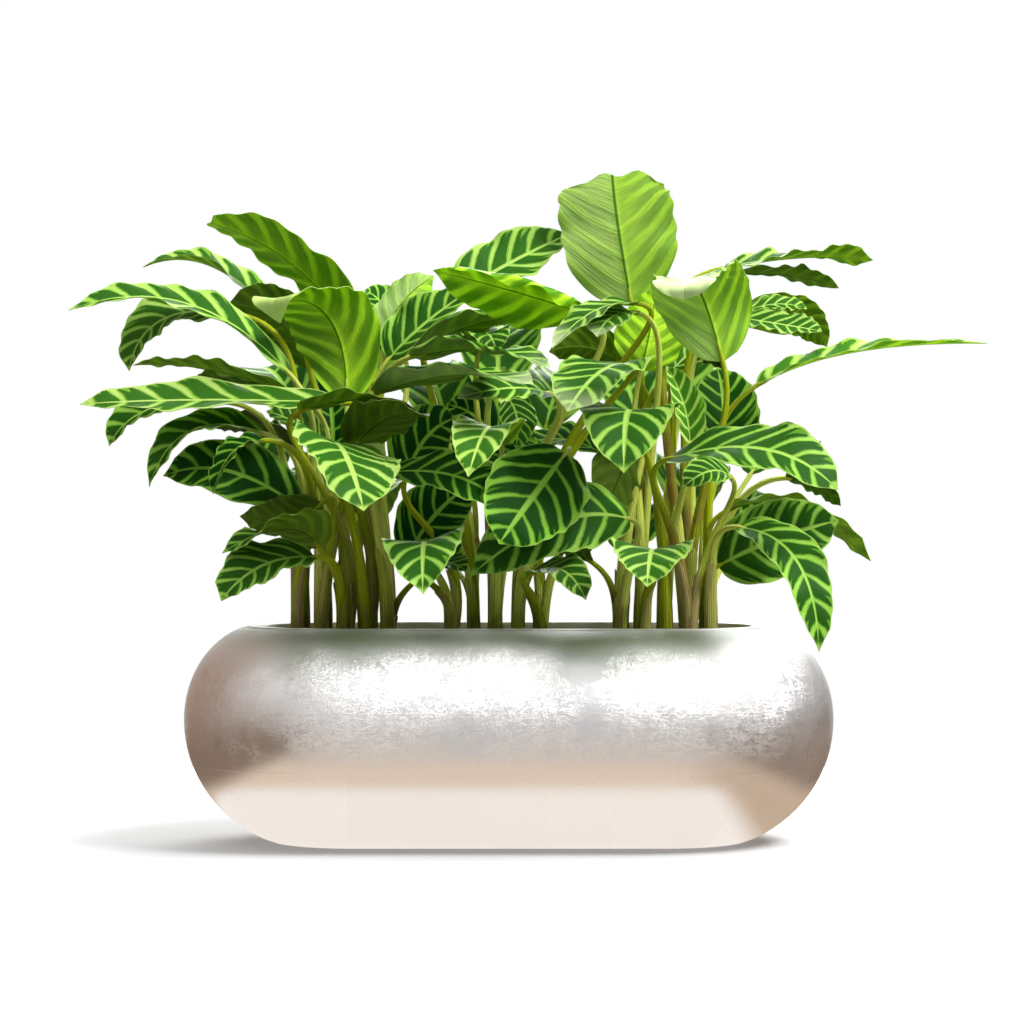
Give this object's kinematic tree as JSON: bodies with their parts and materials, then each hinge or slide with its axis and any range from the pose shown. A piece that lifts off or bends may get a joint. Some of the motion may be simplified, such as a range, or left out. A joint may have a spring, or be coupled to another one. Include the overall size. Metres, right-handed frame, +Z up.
{
  "type": "potted calathea",
  "caption": "Three leafy clumps of zebra-striped foliage growing from soil in a long, rounded, silver-leafed planter with a flat base.",
  "frame": {"origin": "middle of the planter's flat underside, on the surface it stands on", "axes": "+X along the planter's length, +Y away from the side the plant is seen from, +Z up"},
  "size_m": [1.1319, 0.6656, 0.8422],
  "materials": {
    "silver_leaf": "beaten silver leaf under a satin lacquer, with fine wrinkles and seams between the leaves of metal",
    "soil": "matt, crumbly potting soil",
    "foliage": "leathery leaf, dark green with lime stripes and a soft sheen above, plain green below"
  },
  "bodies": {
    "root": {"planter": "silver_leaf", "soil": "soil", "right_shoot_04": "foliage", "right_shoot_11": "foliage", "left_shoot_10": "foliage", "right_shoot_12": "foliage", "right_shoot_05": "foliage", "middle_shoot_02": "foliage", "middle_shoot_05": "foliage", "left_shoot_09": "foliage", "middle_shoot_03": "foliage", "middle_shoot_01": "foliage", "left_shoot_16": "foliage", "middle_shoot_04": "foliage", "middle_shoot_06": "foliage", "right_shoot_01": "foliage", "left_shoot_13": "foliage", "left_shoot_08": "foliage", "left_shoot_17": "foliage", "left_shoot_04": "foliage", "left_shoot_18": "foliage", "right_shoot_08": "foliage", "right_shoot_10": "foliage", "right_shoot_13": "foliage", "left_shoot_05": "foliage", "right_shoot_09": "foliage", "left_shoot_12": "foliage", "right_shoot_06": "foliage", "middle_shoot_11": "foliage", "right_shoot_18": "foliage", "middle_shoot_08": "foliage", "right_shoot_03": "foliage", "middle_shoot_09": "foliage", "middle_shoot_07": "foliage", "left_shoot_01": "foliage", "left_shoot_07": "foliage", "right_shoot_19": "foliage", "left_shoot_19": "foliage", "left_shoot_14": "foliage", "middle_shoot_12": "foliage", "right_shoot_14": "foliage", "left_shoot_06": "foliage", "left_shoot_15": "foliage", "right_shoot_07": "foliage", "left_shoot_03": "foliage", "right_shoot_02": "foliage", "left_shoot_11": "foliage", "right_shoot_15": "foliage", "right_shoot_17": "foliage", "middle_shoot_10": "foliage", "left_shoot_02": "foliage", "right_shoot_16": "foliage", "middle_shoot_13": "foliage", "left_shoot_20": "foliage", "middle_shoot_14": "foliage", "left_shoot_22": "foliage", "right_shoot_21": "foliage", "left_shoot_21": "foliage", "right_shoot_20": "foliage"}
  },
  "joints": []
}
